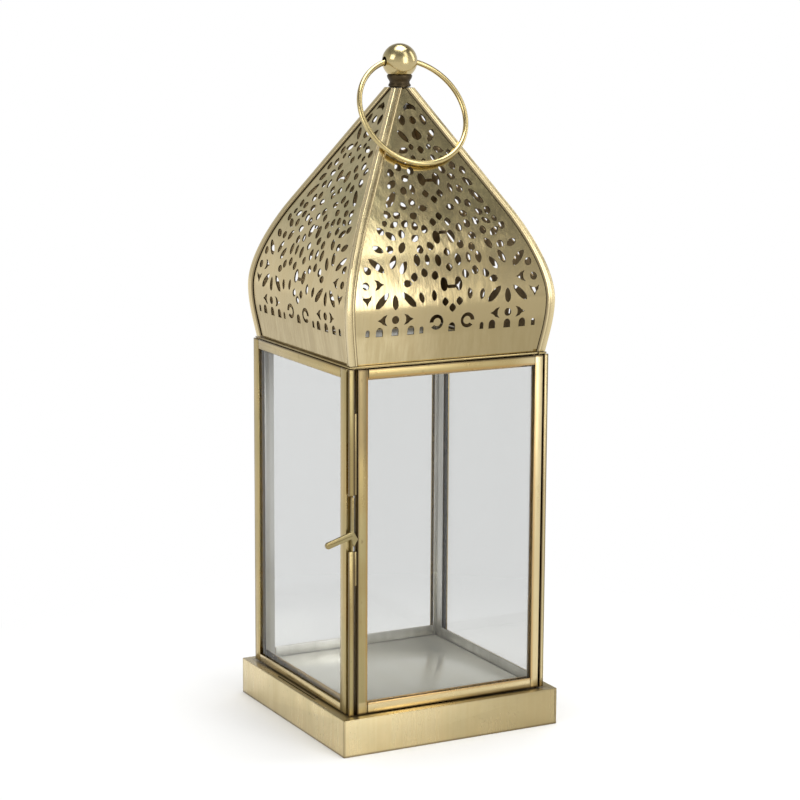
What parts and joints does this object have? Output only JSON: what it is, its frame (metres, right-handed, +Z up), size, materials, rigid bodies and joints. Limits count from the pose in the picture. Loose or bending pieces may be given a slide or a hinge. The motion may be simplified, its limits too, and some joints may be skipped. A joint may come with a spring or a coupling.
{
  "type": "tabletop lantern",
  "caption": "Square metal tabletop lantern with a stepped plinth, a glazed frame with a hinged latching door, a pierced dome roof with corner ribs, and a ball finial with a ring handle.",
  "frame": {"origin": "centre of the plinth's underside", "axes": "+Z up; the door faces -Y, with its hinge at +X and its latch at -X"},
  "size_m": [0.1214, 0.114, 0.3231],
  "materials": {
    "brass": "antique brass, lightly brushed",
    "pale_brass": "worn bright brass, lightly brushed",
    "dark_brass": "dull, darkened brass",
    "steel": "satin grey sheet",
    "glass": "clear, polished"
  },
  "bodies": {
    "lantern": {"base_plinth": "brass", "base_bottom": "dark_brass", "floor_plate": "steel", "post_front_left": "brass", "post_front_right": "brass", "post_back_left": "brass", "post_back_right": "brass", "jamb_latch": "brass", "jamb_hinge": "brass", "rail_lower_right": "brass", "rail_upper_right": "brass", "rail_lower_back": "brass", "rail_upper_back": "brass", "rail_lower_left": "brass", "rail_upper_left": "brass", "door_head": "brass", "door_sill": "brass", "glass_right": "glass", "glass_back": "glass", "glass_left": "glass", "hinge_pin": "dark_brass", "latch_strip_upper": "brass", "latch_strip_lower": "brass", "roof_plate": "brass", "finial_collar": "dark_brass", "finial_ball": "brass", "finial_washer": "steel", "finial_nut": "steel", "finial_stud": "steel", "roof_panel_front": "brass", "roof_panel_right": "brass", "roof_panel_back": "brass", "roof_panel_left": "brass", "roof_rib_back_right": "pale_brass", "roof_rib_back_left": "pale_brass", "roof_rib_front_left": "pale_brass", "roof_rib_front_right": "pale_brass"},
    "door": {"door_stile_latch": "pale_brass", "door_stile_hinge": "pale_brass", "door_rail_top": "pale_brass", "door_rail_bottom": "pale_brass", "door_glass": "glass"},
    "latch": {"latch_tongue": "pale_brass"},
    "ring": {"ring_handle": "pale_brass"}
  },
  "joints": [
    {"name": "door_swing", "type": "hinge", "parent": "lantern", "child": "door", "pos_m": [0.0486, -0.0509, 0.0989], "axis": [0, 0, 1], "range_deg": [0, 95]},
    {"name": "latch_spring", "type": "hinge", "parent": "lantern", "child": "latch", "pos_m": [-0.0507, -0.05255, 0.1217], "axis": [0, 1, 0], "range_deg": [0, 5], "stiffness_Nm_per_rad": 0.3},
    {"name": "ring_swing", "type": "hinge", "parent": "lantern", "child": "ring", "pos_m": [0, 0, 0.31481], "axis": [-1, 0, 0], "range_deg": [0, 297]}
  ]
}
